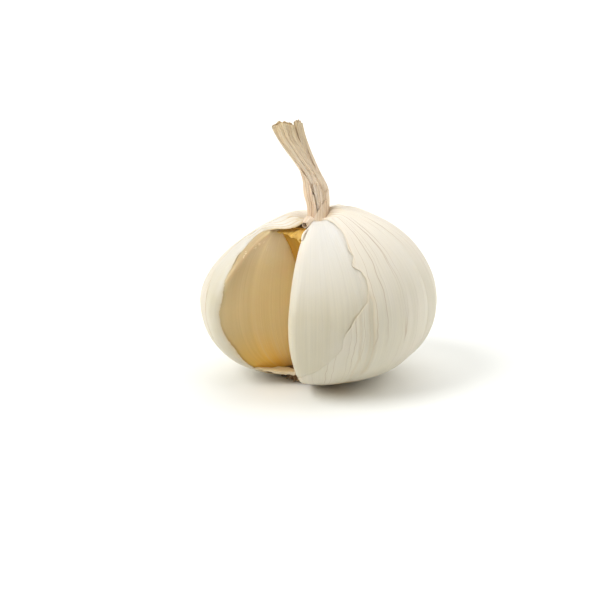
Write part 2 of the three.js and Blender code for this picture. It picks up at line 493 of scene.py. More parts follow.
# the skins are creamy and palest on the shoulders, part their own tone and part painted highlight where the
# top light falls; they are tan where they are dry and torn
skinLook = {
    "outer": {
        "roughness": 0.5, "specular": 0.3, "glow": 0.3, "glowReach": (2.2, 1.5, 0.9),
        "shoulder": (0.87, 0.76, 0.605), "pale": (0.775, 0.68, 0.52), "warm": (0.74, 0.645, 0.47),
        "blush": (0.81, 0.68, 0.54), "torn": (0.62, 0.42, 0.20),
        "vein": (0.50, 0.34, 0.20), "veinStrength": 0.85, "veins": (74, 0.5, 0.011),   # across, along, width
    },
    "inner": {
        "roughness": 0.42, "specular": 0.35, "glow": 0.35, "glowReach": (2.2, 1.6, 1.0),
        "shoulder": (0.87, 0.80, 0.685), "pale": (0.74, 0.64, 0.455), "warm": (0.71, 0.605, 0.415),
        "blush": (0.79, 0.69, 0.56), "torn": (0.70, 0.52, 0.28),
        "vein": (0.66, 0.55, 0.42), "veinStrength": 0.4, "veins": (76, 0.6, 0.013),
    },
}


def skinMaterial(name, look):
    material, tree, shader = newMaterial(name, look)
    pattern = skinPattern
    fine, broad, patches, veined = grainNoises(tree, pattern, "fine", "broad", "patch", "veined")
    tone = blend(tree, fade(tree, broad, *pattern["warmAt"]), look["pale"], look["warm"])
    tone = blend(tree, fade(tree, patches, *pattern["blushAt"]), tone, look["blush"])
    # painted highlight: the shoulder tone, paler than the skin below it, lies where the top light falls
    belowLitShoulder = fade(tree, alongGrain(tree), *pattern["litShoulderAt"])
    tone = blend(tree, belowLitShoulder, look["shoulder"], tone)
    tone = times(tree, tone, mottle(tree, fine, pattern["darkest"]))
    veins = veinLines(tree, *look["veins"], pattern["wander"])
    shown = fade(tree, veined, *pattern["veinedAt"], look["veinStrength"])
    tone = blend(tree, times(tree, veins, shown), tone, look["vein"])
    tone = blend(tree, drynessAndShade(tree), tone, look["torn"])
    finishShader(tree, shader, tone, pattern["bumps"], fine, broad, veins)
    return material


cloveLook = {
    "roughness": 0.42, "specular": 0.35, "glow": 0.35, "glowReach": (3.0, 1.6, 0.7),
    "top": (0.88, 0.73, 0.47), "middle": (0.75, 0.58, 0.29), "bottom": (0.95, 0.58, 0.08),
    "streak": (0.84, 0.70, 0.44), "core": (0.84, 0.71, 0.43), "footAndTipShade": (0.60, 0.36, 0.08),
    # the corner tone is painted shade along the clove's outer corner beside the pocket's rim
    "corner": (0.42, 0.295, 0.145), "tip": (1.0, 0.88, 0.62), "scratch": (0.92, 0.80, 0.56),
    "fineGrain": (120, 1.5, 4.0, 0.6), "broadGrain": (22, 1.2, 2.0, 0.5), "scratchGrain": (30, 24, 3.0, 0.7),
    "bottomAt": 0.15, "middleAt": 0.38, "coreAt": (0.78, 0.46, 0.5), "cornerAt": (0.86, 0.98, 0.85),
    "cornerShadeUp": [(0.5, 0.3), (0.72, 1.0)],   # how strong the corner's tone is at two heights
    # the tip tone and where it lies: a painted highlight on the clove's upper outer tip
    "tipLightOutAt": (0.8, 0.5), "tipLightUpAt": (0.66, 0.86), "streakAt": (0.4, 0.75, 0.35),
    "scratchAt": (0.61, 0.68, 0.8), "scratchUpAt": (0.6, 0.8), "darkest": 0.9,
    "bumps": [(0.2, 0.06), (0.25, 0.2)],
}


def cloveMaterial(name):
    look = cloveLook
    material, tree, shader = newMaterial(name, look)
    fine, broad, scratched = grainNoises(tree, look, "fine", "broad", "scratch")
    # up runs from 0 at the foot to 1 at the tip, out from 0 at the stem core to 1 at the outer corner
    up, out = alongGrain(tree), acrossGrain(tree)
    foot, middle = (look["bottomAt"], look["bottom"]), (look["middleAt"], look["middle"])
    # the tone from the ochre foot to the beige tip is part the wrapper's own colour and part painted light
    # and shade
    tone = ramp(tree, up, foot, middle, (1.0, look["top"]))
    tone = blend(tree, fade(tree, out, *look["coreAt"]), tone, look["core"])
    upwards = ramp(tree, up, *((place, grey(strength)) for place, strength in look["cornerShadeUp"]))
    # painted shade: a dark band along the outer corner, stronger towards the top
    corner = times(tree, fade(tree, out, *look["cornerAt"]), upwards)
    tone = blend(tree, corner, tone, look["corner"])
    # painted highlight on the upper outer tip
    tip = times(tree, fade(tree, out, *look["tipLightOutAt"]), fade(tree, up, *look["tipLightUpAt"]))
    tone = blend(tree, tip, tone, look["tip"])
    tone = blend(tree, fade(tree, broad, *look["streakAt"]), tone, look["streak"])
    scratches = times(tree, fade(tree, scratched, *look["scratchAt"]), fade(tree, up, *look["scratchUpAt"]))
    tone = blend(tree, scratches, tone, look["scratch"])
    # painted shade near the foot, and at the tip where the roof's shadow falls
    tone = blend(tree, drynessAndShade(tree), tone, look["footAndTipShade"])
    tone = times(tree, tone, mottle(tree, fine, look["darkest"]))
    finishShader(tree, shader, tone, look["bumps"], fine, broad)
    return material


neckLook = {
    "roughness": 0.7, "specular": 0.2, "glow": 0.15, "glowReach": (1.5, 1.0, 0.5),
    "pale": (0.87, 0.74, 0.59), "straw": (0.74, 0.56, 0.40), "dark": (0.46, 0.28, 0.15),
    # the crease tone is painted shade laid in the creases between the ridges
    "crease": (0.36, 0.20, 0.09), "tip": (0.68, 0.53, 0.31),
    "fineGrain": (64, 2.2, 4.0, 0.65), "broadGrain": (12, 1.2, 3.0, 0.5),
    "strawAt": 0.3, "paleAt": 0.62, "tipAt": (0.5, 1.0, 0.7), "darkAt": (0.5, 0.28, 0.75),
    "bumps": [(0.6, 0.18), (0.4, 0.3)],
}


def neckMaterial(name):
    look = neckLook
    material, tree, shader = newMaterial(name, look)
    fine, broad = grainNoises(tree, look, "fine", "broad")
    tone = ramp(tree, broad, (look["strawAt"], look["straw"]), (look["paleAt"], look["pale"]))
    tone = blend(tree, fade(tree, alongGrain(tree), *look["tipAt"]), tone, look["tip"])
    tone = blend(tree, fade(tree, fine, *look["darkAt"]), tone, look["dark"])
    # painted shade in the creases, and over the side strand as a whole
    tone = blend(tree, drynessAndShade(tree), tone, look["crease"])
    finishShader(tree, shader, tone, look["bumps"], fine, broad)
    return material


plateLook = {
    "roughness": 0.9, "specular": 0.12, "glow": 0.0, "glowReach": (1.0, 0.6, 0.3),
    "pale": (0.50, 0.37, 0.23), "brown": (0.26, 0.15, 0.08), "dark": (0.10, 0.055, 0.03),
    "coarse": (350.0, 5.0, 0.65), "fine": (1600.0, 3.0, 0.6),   # scale per metre, detail and roughness
    "darkAt": 0.3, "brownAt": 0.48, "paleAt": 0.66, "bumps": [(0.7, 0.4), (0.4, 0.12)],
}


def plateMaterial(name):
    look = plateLook
    material, tree, shader = newMaterial(name, look)
    coarse, fine = (noiseAt(tree, objectPlace(tree), *look[key]) for key in ("coarse", "fine"))
    tone = ramp(tree, coarse, *((look[key + "At"], look[key]) for key in ("dark", "brown", "pale")))
    tone = blend(tree, drynessAndShade(tree), tone, look["pale"])
    finishShader(tree, shader, tone, look["bumps"], coarse, fine)
    return material


membraneLook = {
    "roughness": 0.5, "specular": 0.3, "glow": 0.2, "glowReach": (2.0, 1.0, 0.4),
    # the deep tone is mostly painted shade, on the web in the deep gap
    "pale": (0.76, 0.47, 0.13), "brown": (0.60, 0.34, 0.06), "deep": (0.50, 0.22, 0.004),
    "fineGrain": (60, 4, 4.0, 0.6), "brownAt": 0.3, "paleAt": 0.65, "bumps": [(0.5, 0.1)],
}


def membraneMaterial(name):
    look = membraneLook
    material, tree, shader = newMaterial(name, look)
    fine = grainNoise(tree, *look["fineGrain"])
    tone = ramp(tree, fine, (look["brownAt"], look["brown"]), (look["paleAt"], look["pale"]))
    tone = blend(tree, drynessAndShade(tree), tone, look["deep"])
    finishShader(tree, shader, tone, look["bumps"], fine)
    return material


# each finish is a material and the slot that it stands for
outerPaper = (skinMaterial("outerPaper", skinLook["outer"]), "outer_papery_skin")
innerPaper = (skinMaterial("innerPaper", skinLook["inner"]), "inner_papery_skin")
cloveWrapper = (cloveMaterial("cloveWrapper"), "clove_wrapper")
driedNeck = (neckMaterial("driedNeck"), "dried_neck")
corkyPlate = (plateMaterial("rootPlate"), "root_plate")
brownMembrane = (membraneMaterial("brownMembrane"), "torn_membrane")
driedCore = (driedNeck[0], "stem_core")
print("materials ready")


# cloves

cloveForm = {
    "inset": 0.7, "sink": 0.3,     # below the outline, and its share of the valleys' depth
    "base": 2.75, "top": 39.1, "end": 0.012,     # end: how near to each tip the last ring lies
    # radius of its inner side, how far that leans out towards the tip, and the room left beside each flank
    "inner": 3.0, "lean": 4.6, "gap": 0.15,
    "pivot": 0.6,     # how far out the tip lies, from the inner side to the outer
    # how sharp its corners are, and how much sharper the bared clove's are towards its top
    "softness": 10.0, "barer": 6.0, "barerFrom": 26.0, "barerTo": 32.0,
    # how blunt the foot is, and the tip inwards, outwards and sideways
    "basePower": 8.0, "tipPower": 4.5, "tipOutPower": 9.0, "tipSidePower": 5.0,
    "bumps": 0.12, "bumpAcross": 5.0, "bumpUp": 16.0,
    # painted shade: darker near the foot, and at the tip where the roof's shadow falls
    "footAndTipShade": [(7, 4, 0.3), (36, 39, 0.15)],   # near the foot and the tip
    "turnBack": 5.0, "turnFrom": 30.0, "turnTo": 38.5,   # degrees, of the bared flank towards its top
    "hidden": (60, 44), "shown": {"leftClove": (150, 120), "frontClove": (90, 70)},   # columns and rows
}


def cloveLevel(start, end, z):
    # one level of a clove, softly bounded by its two flanks, its back and its front
    form = cloveForm
    half = math.radians(end - start) / 2
    full = min(fullness(start), fullness(end))
    outer = outlineRadius(z, form["inset"], full) * (1 - bulb["valley"] * form["sink"])
    inner = form["inner"] + form["lean"] * ease(bulb["widest"], form["top"], z)
    centre = (outer + inner) / 2
    along = clamp01((z - form["base"]) / (form["top"] - form["base"])) * 2 - 1

    def shrink(power):
        return (1 - abs(along) ** power) ** (1 / power)

    drawIn = shrink(form["basePower"] if along < 0 else form["tipPower"])
    drawOut = shrink(form["basePower"] if along < 0 else form["tipOutPower"])
    narrow = shrink(form["basePower"] if along < 0 else form["tipSidePower"])
    pivot = mix(inner, outer, 0.5 + (form["pivot"] - 0.5) * max(0.0, along))
    softness = form["softness"]
    if start == cloveSides[-2]:
        softness += form["barer"] * ease(form["barerFrom"], form["barerTo"], z)

    def place(angle):
        out, side = math.cos(angle), math.sin(angle)
        lengths = []
        flank = abs(side) * math.cos(half) - out * math.sin(half)
        if flank > 1e-6:
            lengths.append((centre * math.sin(half) - form["gap"]) / flank)
        if out < -1e-6:
            lengths.append((centre - inner) / -out)
        lengths.append(-centre * out + math.sqrt((centre * out) ** 2 - centre ** 2 + outer ** 2))
        length = sum(x ** -softness for x in lengths) ** (-1 / softness)
        beyond = centre + length * out - pivot
        return length * side * narrow, pivot + beyond * (drawOut if beyond > 0 else drawIn)

    return place


def clovePiece(name, start, end):
    form = cloveForm
    columns, rows = form["shown"].get(name, form["hidden"])

    def place(u, v):
        share = 0.5 - 0.5 * math.cos(math.pi * mix(form["end"], 1 - form["end"], v))
        z = mix(form["base"], form["top"], share)
        angle = 2 * math.pi * u
        bared = form["turnBack"] * ease(form["turnFrom"], form["turnTo"], z) * (name == "leftClove")
        middle = (start + end - bared) / 2
        x, y = cloveLevel(start, end - bared, z)(angle)
        spot = Vector((x / form["bumpAcross"], y / form["bumpAcross"], z / form["bumpUp"]))
        bump = form["bumps"] * noise.noise(spot + Vector((start, 0, 0)))
        x, y = x * (1 + bump / 10), y + bump
        bearing = middle + math.degrees(math.atan2(x, y))
        point = polar(bearing, math.hypot(x, y), z)
        out = 0.5 + 0.4 * math.cos(angle) + 0.3 * math.sin(angle)
        return point, (out, v), bands(z, form["footAndTipShade"])

    piece(name, tube(columns, rows, place), *cloveWrapper, cloveNodes[name])


for name, start, end in zip(cloveNodes, cloveSides, cloveSides[1:]):
    clovePiece(name, start, end)
print("cloves made")


# outer skin

outerSkinForm = {
    # torn edges: meridian, azimuth
    "rightEdge": [
        (12, 12), (22, 12), (26, 17), (27.5, 21.5), (32.5, 23.5), (36, 24), (41, 23), (47, 21.5), (51, 23),
        (56, 19.5), (59.5, 24), (64.5, 25.5), (70, 24.5), (76, 23.5), (80, 19.5), (86, 14.5), (95.5, 10.5),
        (102, 10.5), (108, 8.5), (115, 4), (123.5, -0.5), (130, -8), (136, -13), (170, -13.5),
    ],
    "leftEdge": [
        (12, -20), (16, -50), (19, -70), (22, -84), (26, -92), (33, -95), (40, -95), (46, -94), (50, -92),
        (55, -88), (60.5, -84.5), (68.5, -79), (75.5, -74), (85.5, -70), (98, -69), (110, -68.5), (170, -68),
    ],
    # where the rows lie along the meridian, and the columns between the two edges
    "thickness": 0.13, "meridians": [(0, 12.5), (0.26, 36), (0.88, 135), (1, 165)], "rows": 164,
    "share": [(0, 0), (0.46, 0.30), (0.80, 0.80), (1, 1)], "columns": 296,
    "ragged": 0.55, "teeth": 0.25, "neckStart": 9.0,
    "pleats": 44, "pleatDepth": 0.22, "pleatsAt": [(34, 14, 1.0), (148, 166, 0.7)],
    "tuft": {"height": 2.9, "azimuth": 68, "width": 22},
    "creaseDepth": 0.45, "creases": [
        {"at": 25.0, "width": 1.4, "share": 1.0, "in": (66, 78), "out": (140, 122), "sway": 18, "seed": 9},
        {"at": 19.0, "width": 0.8, "share": 0.5, "in": (78, 86), "out": (145, 130), "sway": 15, "seed": 10},
    ],
    # along an edge: how far in it reaches, and how much it lifts, presses in or dries the skin there
    "lift": (1.3, 0.06), "liftFrom": (28, 40), "press": (4.0, 0.27), "pressFrom": (88, 100),
    "leftPress": (3.0, 0.22), "dryTear": (0.25, 0.1), "dryLeft": (0.5, 0.8), "dryRim": (0.2, 0.2),
    # the tan along the creases is part the folds' own colour and part painted shade
    "creaseTanAndShade": 0.4, "dryEnds": [(18, 13, 0.3), (146, 162, 0.35)],
    # dry stains: azimuth, width, meridians where each starts and is whole, strength, how streaked it is
    "stains": [(21, 8, 143, 149, 0.9, 0.0), (290, 40, 26, 17, 0.6, 0.5)],
}


def gathered(azimuth, meridian, form, seed):
    # pleats where the skin draws together at the neck and at the root plate
    turn = azimuth + 5 * wobble(azimuth / 30, seed)
    wave = math.sin(math.radians(turn) * form["pleats"])
    coarse = math.sin(math.radians(turn) * form["pleats"] / 3 + seed)
    return bands(meridian, form["pleatsAt"]) * form["pleatDepth"] * (0.6 * wave + 0.6 * coarse)


def ripple(azimuth, meridian, seed):
    # broad unevenness of dried paper, longer along the meridian than across
    spot = Vector((azimuth / 9, meridian / 40, seed))
    return 0.10 * noise.noise(spot) + 0.05 * noise.noise(spot * 2.7)


def creaseAt(azimuth, meridian, crease):
    line = crease["at"] + 0.7 * wobble(meridian / crease["sway"], crease["seed"])
    fading = ease(*crease["in"], meridian) * ease(*crease["out"], meridian)
    return crease["share"] * hump(azimuth, line, crease["width"]) * fading


def stainAt(azimuth, meridian, stain):
    middle, width, none, whole, strength, streaked = stain
    streaks = 1 - streaked + streaked * math.sin(azimuth * 0.7)
    return strength * hump(azimuth, middle, width) * ease(none, whole, meridian) * streaks


def outerSkinPiece():
    form, tuft = outerSkinForm, outerSkinForm["tuft"]
    start = form["meridians"][0][1]

    def place(u, v):
        meridian = follow(form["meridians"], v)
        right = followSoft(form["rightEdge"], meridian, 0.9)
        right += form["ragged"] * wobble(meridian / 2.5, 1) + form["teeth"] * wobble(meridian * 1.3, 8, 2)
        left = 360 + followSoft(form["leftEdge"], meridian, 1.5) + form["ragged"] * wobble(meridian / 2.5, 2)
        azimuth = mix(right, left, follow(form["share"], u))
        arc = math.radians(1) * outlineAt(meridian)[0]
        fromTear, fromLeft = (azimuth - right) * arc, (left - azimuth) * arc
        lifted = near(fromTear, *form["lift"]) * ease(*form["liftFrom"], meridian)
        rise = mix(lifted, -near(fromTear, *form["press"]), ease(*form["pressFrom"], meridian))
        rise -= near(fromLeft, *form["leftPress"])
        groove = sum(creaseAt(azimuth, meridian, crease) for crease in form["creases"])
        depth = form["creaseDepth"] * groove - gathered(azimuth, meridian, form, 3)
        depth -= ripple(azimuth, meridian, 4) + rise
        # tan along the creases: part the folds' own colour, part painted shade in the fold
        dryAndShade = form["creaseTanAndShade"] * groove + near(fromTear, *form["dryTear"]) * ease(100, 84, meridian)
        dryAndShade += near(fromLeft, *form["dryLeft"]) * ease(34, 26, meridian) + near(fromLeft, *form["dryRim"])
        dryAndShade += bands(meridian, form["dryEnds"])
        dryAndShade += sum(stainAt(azimuth, meridian, stain) for stain in form["stains"])
        meridian -= (start - form["neckStart"]) * fullness(azimuth) * ease(24, start, meridian)
        point = bulbPoint(azimuth, meridian, depth)
        raised = tuft["height"] * hump(azimuth, tuft["azimuth"], tuft["width"])
        raised *= ease(20, start, meridian + 2)
        point.z += raised * (0.8 + 0.5 * wobble(azimuth / 9, 6))
        return point, (azimuth / 360, meridian / 180), clamp01(dryAndShade)

    skinPiece("outerSkin", form, place, outerPaper, "outer_skin")


outerSkinPiece()
print("outer skin made")


# inner skin over the front clove, with a finer lining that peeps out at the pocket's edge

frontEdge = [   # meridian, azimuth
    (12, -10), (22, -11), (34, -16), (44, -17.2), (55, -16.4), (66, -15.8), (76, -15.3), (100, -15.2),
    (122, -14.6), (170, -14.5),
]
innerSkinForm = {
    "thickness": 0.14, "inset": 0.3, "top": 13.5, "bottom": 160.0, "columns": 110, "rows": 230,
    "corner": 2.6, "right": 36.0, "teeth": 0.5, "crowd": 1.4,   # crowd: columns lie closer near the edge
    "curl": (0.8, 0.12), "dryRim": (0.3, 0.12), "dryNeck": [(22, 14, 0.35)],
    "reach": [(14, 0.5), (40, 0.6), (60, 0.8), (72, 0.9), (84, 2.1), (126, 2.0), (132, 0.5), (160, 0.3)],
}
liningForm = {
    "thickness": 0.1, "inset": 0.45, "corner": 2.4, "top": 60.0, "bottom": 150.0, "from": -3.0, "to": 7.0,
    "columns": 40, "rows": 120,
}


def innerSkinPiece():
    form = innerSkinForm

    def place(u, v):
        meridian = mix(form["top"], form["bottom"], v)
        edge = followSoft(frontEdge, meridian, 3)
        radius = outlineAt(meridian, form["inset"])[0]
        first = follow(form["reach"], meridian) - form["teeth"] * abs(wobble(meridian * 1.1, 5, 3)) * 2
        last = math.radians(form["right"] - edge) * radius
        run = mix(first, last, u ** form["crowd"])
        azimuth = edge + math.degrees(run / radius)
        rise = ripple(azimuth, meridian, 6) + near(run - first, *form["curl"])
        point = wrapRound(edge, 1, meridian, run, form["inset"] - rise, form["corner"])[0]
        dryAndShade = near(run - first, *form["dryRim"]) + bands(meridian, form["dryNeck"])
        return point, (azimuth / 360, meridian / 180), dryAndShade

    skinPiece("innerSkin", form, place, innerPaper, "inner_skin")


def liningPiece():
    form = liningForm

    def place(u, v):
        meridian = mix(form["top"], form["bottom"], v)
        edge = followSoft(frontEdge, meridian, 3)
        first = form["from"] + 0.5 * wobble(meridian / 3, 12)
        run = mix(first, form["to"], u)
        point, azimuth = wrapRound(edge, 1, meridian, run, form["inset"], form["corner"])
        return point, (azimuth / 360 + run / 200, meridian / 180), 0.12

    skinPiece("frontLining", form, place, innerPaper)


innerSkinPiece()
liningPiece()
print("front inner skin made")


# inner skin at the pocket's left: over the roof, down the rim and round the clove's corner

leftSkinForm = {
    # its torn edge: on the roof meridian and azimuth, below it meridian and how far in on the flank
    "roofEdge": [
        (12, -8), (16, -14), (22, -24), (28, -29), (32, -38), (34, -52), (36, -66), (38.5, -78), (41, -80.5),
        (44, -79), (47, -75.5), (50, -72), (53, -69.5), (57, -67),
    ],
    "flankEdge": [
        (54, 6.8), (57, 6.0), (60, 5.1), (65, 4.2), (72, 3.8), (76, 3.3), (81, 2.6), (90, 2.9), (100, 2.8),
        (107, 2.4), (119, 1.7), (128, 2.0), (139, 2.8), (149, 3.2), (155, 2.3), (165, 2.0),
    ],
    "thickness": 0.14, "inset": 0.3, "edge": -58.2, "corner": 4.2, "far": -124.0, "blendAt": 54.0,
    "meridians": [(0, 13), (0.14, 27), (0.5, 56), (0.9, 146), (1, 164)], "shortest": 151.0,
    "columns": 130, "rows": 240, "teeth": 0.2, "crowd": 1.7,
    "roofCurl": 0.3, "rimCurl": 0.9, "flankCurl": 0.45, "curlReach": 0.7,
    "press": (1.5, 0.12), "wave": (8.0, 0.15), "roof": (52, 44),
    # torn layers on the roof: how far in and how wide, how high each is and how dry, and where they start
    "layers": [(1.5, 0.16), (3.3, 0.2), (5.6, 0.24)],
    "layerStep": 0.11, "layerDry": 0.6, "layersAt": (-94, -86),
    "dryRoof": (1.0, 0.9), "dryRoofAt": (42, 36), "dryRim": (0.3, 0.5),
    "dryNeck": [(31, 22, 0.8)], "dryFoot": [(140, 160, 0.35)],
}


def leftSkinPiece():
    form = leftSkinForm
    bottom = form["meridians"][-1][1]

    def place(u, v):
        meridian = follow(form["meridians"], v)
        lowest = mix(form["shortest"], bottom, ease(0, 0.4, u))
        meridian = min(meridian, mix(meridian, lowest, ease(140, bottom, meridian)))
        radius = outlineAt(meridian, form["inset"])[0]
        start, quarter = cornerAt(form["edge"], -1, radius, form["corner"])[1:]
        far = quarter + math.radians(start - form["far"]) * radius
        onRoof = quarter + math.radians(start - followSoft(form["roofEdge"], meridian, 1.2)) * radius
        onFlank = followSoft(form["flankEdge"], meridian, 1.5)
        first = mix(onRoof, onFlank, ease(form["blendAt"] - 1.5, form["blendAt"] + 1.5, meridian))
        first -= form["teeth"] * wobble(meridian * 0.9, 14, 3)
        run = mix(first, far, u ** form["crowd"])
        roof = ease(*form["roof"], meridian)
        fromRim = run - first
        curl = mix(form["roofCurl"], form["rimCurl"], ease(35, 39, meridian))
        curl *= mix(1, form["flankCurl"], ease(50, 60, meridian))
        curl *= ease(20, 28, meridian) * near(fromRim, form["curlReach"])
        azimuth = start - math.degrees((run - quarter) / radius)
        depth = form["inset"] + curl - ripple(azimuth, meridian, 7)
        depth -= near(fromRim, *form["press"]) * (1 - roof)
        wave = math.sin(meridian * 0.55 + azimuth * 0.11)
        depth += near(fromRim, *form["wave"]) * roof * wave
        layered, shown = 0.0, roof * ease(*form["layersAt"], azimuth)
        for index, (offset, width) in enumerate(form["layers"]):
            here = fromRim + 0.5 * wobble(azimuth / 16 + 7 * index, 51)
            layered += hump(here, offset, width) * shown
            depth -= form["layerStep"] * ease(offset - width, offset + width, here) * shown
        if meridian < form["blendAt"]:
            point = bulbPoint(azimuth, meridian, depth)
        else:
            point = wrapRound(form["edge"], -1, meridian, run, depth, form["corner"])[0]
        dryAndShade = near(fromRim, *form["dryRoof"]) * ease(*form["dryRoofAt"], meridian)
        dryAndShade += near(fromRim, *form["dryRim"])
        streaks = 0.5 + 0.5 * math.sin(azimuth * 0.45 + meridian * 0.3)
        dryAndShade += bands(meridian, form["dryNeck"]) * streaks
        dryAndShade += bands(meridian, form["dryFoot"]) + form["layerDry"] * layered
        return point, (azimuth / 360, meridian / 180), clamp01(dryAndShade)

    skinPiece("leftInnerSkin", form, place, innerPaper, "inner_skin_left", flipped=True)


leftSkinPiece()
print("left inner skin made")


# torn membrane at the top of the pocket, and the web round the stem core behind it: part membrane, part
# painted shade of the deep gap there

membraneForm = {
    "thickness": 0.1, "columns": 70, "rows": 40, "inset": 1.8, "from": -72.0, "to": -15.0, "top": 22.0,
    # the torn lower edge: azimuth, meridian
    "edge": [
        (-70, 34.5), (-60, 34), (-50, 34), (-42, 34), (-35, 36), (-30, 34.5), (-24, 37), (-20, 33), (-14, 34),
    ],
    # strands: azimuth and meridian at both ends, and how far each sags
    "strands": [(-34, 35, -17, 36.0, 0.5), (-30, 34.5, -17, 39.5, 0.9)],
    "strandWide": 0.55, "strandNarrow": 0.25,
}
webAndGapShadeForm = {
    "thickness": 0.12, "columns": 60, "rows": 80, "from": -68.0, "to": -14.0, "low": 3.2, "high": 39.6,
    "lip": 1.2, "hollow": 0.5, "uneven": 0.35,
    "depth": [(3, 3.4), (20, 3.8), (30, 5.8), (34, 6.9), (36, 7.7), (38, 8.7), (40, 9.6)],   # height, radius
}


def membranePiece():
    form = membraneForm

    def panel(u, v):
        azimuth = mix(form["from"], form["to"], u)
        low = followSoft(form["edge"], azimuth, 0.8) + 0.5 * wobble(azimuth / 2, 21)
        meridian = mix(form["top"], low, v)
        depth = form["inset"] + 0.35 * v + 0.3 * noise.noise(Vector((azimuth / 6, meridian / 4, 2)))
        return bulbPoint(azimuth, meridian, depth), (azimuth / 360, meridian / 180), 0.2 * v

    def strand(here):
        azimuthA, meridianA, azimuthB, meridianB, sag = here

        def place(u, v):
            azimuth, meridian = mix(azimuthA, azimuthB, v), mix(meridianA, meridianB, v)
            middle = bulbPoint(azimuth, meridian, form["inset"] + sag * math.sin(math.pi * v))
            width = mix(form["strandWide"], form["strandNarrow"], v)
            across = Vector((0.2, -0.3, 1)).normalized() * (u - 0.5) * width
            return middle + across, (u / 20, v / 5), 0.1

        return gridSheet(3, 16, place)

    sheets = [gridSheet(form["columns"], form["rows"], panel)] + [strand(here) for here in form["strands"]]
    whole = joined([thicken(sheet, form["thickness"]) for sheet in sheets])
    piece("pocketMembrane", whole, *brownMembrane, "pocket_membrane")


def webAndGapShadePiece():
    form = webAndGapShadeForm

    def place(u, v):
        z = mix(form["high"], form["low"], v)
        azimuth = mix(form["from"], form["to"], u)
        radius = followSoft(form["depth"], z, 1.0)
        radius += form["uneven"] * noise.noise(Vector((azimuth / 7, z / 20, 5)))
        radius += form["lip"] * ease(0.3, 0, u) - form["hollow"] * math.cos(math.pi * (u - 0.5) * 0.9)
        # mostly the deep tone: painted shade of the deep gap over the web's own brown
        dryAndShade = 0.7 + 0.3 * noise.noise(Vector((u * 5, z / 9, 8)))
        return polar(azimuth, radius, z), (azimuth / 360, z / 60), dryAndShade

    skinPiece("webAndGapShade", form, place, brownMembrane)


membranePiece()
webAndGapShadePiece()


# a torn lip of skin rolled back at the top of the front clove
curlForm = {
    "from": 33.0, "to": 41.5, "run": 1.2, "inset": 0.25, "roll": 0.5, "least": 0.05, "turn": 165.0,
    "thickness": 0.12, "columns": 20, "rows": 40,
}


def curlPiece():
    form = curlForm

    def place(u, v):
        meridian = mix(form["from"], form["to"], v)
        edge = followSoft(frontEdge, meridian, 3)
        root = wrapRound(edge, 1, meridian, form["run"], form["inset"], innerSkinForm["corner"])[0]
        aside, outward = polar(edge - 70, 1, 0), polar(edge + 5, 1, 0.25)
        size = form["roll"] * math.sin(math.pi * clamp01(v)) ** 0.6 + form["least"]
        angle = math.radians(form["turn"]) * u
        point = root + (aside * math.sin(angle) + outward * (1 - math.cos(angle)) * 0.6) * size
        return point, (u / 60, meridian / 180), 0.1 * u

    skinPiece("tornCurl", form, place, innerPaper, flipped=True)


curlPiece()

# what is left of the skins under the clove that was taken out
pocketFloorForm = {
    "from": -61.5, "to": -12.0, "thickness": 0.14, "columns": 90, "rows": 30,
    # its torn edge: azimuth, then radius or height
    "radius": [(-61, 18.5), (-50, 15.3), (-40, 12.4), (-30, 10.8), (-12, 10.4)],
    "height": [(-61, 4.7), (-50, 3.8), (-40, 3.2), (-30, 2.95), (-12, 2.9)],
    "inner": 8.6, "innerHeight": 2.85, "ragged": 0.5, "uneven": 0.35,
    "fold": 1.0, "foldAt": -27.0, "foldWidth": 5.0, "droop": 0.5,
}


def pocketFloorPiece():
    form = pocketFloorForm

    def place(u, v):
        azimuth = mix(form["from"], form["to"], u)
        radius = followSoft(form["radius"], azimuth, 2) + form["ragged"] * wobble(azimuth / 2.2, 31)
        height = followSoft(form["height"], azimuth, 2)
        r, z = mix(radius, form["inner"], v), mix(height, form["innerHeight"], v ** 0.7)
        z += form["uneven"] * noise.noise(Vector((azimuth / 6, r / 2.5, 3))) * ease(1, 0.6, v)
        folded = hump(azimuth, form["foldAt"], form["foldWidth"]) * ease(0.45, 0.1, v) * ease(0, 0.12, v)
        z += form["fold"] * folded - form["droop"] * ease(0.12, 0, v)
        return polar(azimuth, r, z), (azimuth / 360, r / 40), 0.5 + 0.4 * v

    skinPiece("pocketFloor", form, place, innerPaper)


# a rolled scrap of sheath between the roof and the foot of the neck
scrapForm = {
    "from": (-1.6, -4.5, 40.9), "to": (-3.5, -8.8, 40.6), "radius": 1.0, "turns": 0.9, "twist": 0.6,
    "arch": 0.35, "thickness": 0.14, "columns": 44, "rows": 26,
}


def scrapPiece():
    form = scrapForm
    start, end = Vector(form["from"]), Vector(form["to"])
    along = (end - start).normalized()
    side = along.cross(Vector((0, 0, 1))).normalized()
    up = side.cross(along)

    def place(u, v):
        angle = 2 * math.pi * form["turns"] * u + form["twist"] * v
        radius = form["radius"] * (0.55 + 0.75 * math.sin(math.pi * (0.15 + 0.75 * v))) * (1 - 0.22 * u)
        radius *= 1 + 0.1 * math.sin(5 * angle + 3 * v)
        centre = start + (end - start) * v + up * form["arch"] * math.sin(math.pi * v)
        point = centre + (side * math.cos(angle) + up * math.sin(angle)) * radius
        return point, (u, v / 3), 0.25 * ease(0.85, 1, v)

    skinPiece("rolledScrap", form, place, driedNeck)


scrapPiece()
pocketFloorPiece()
print("pocket lined")


# neck

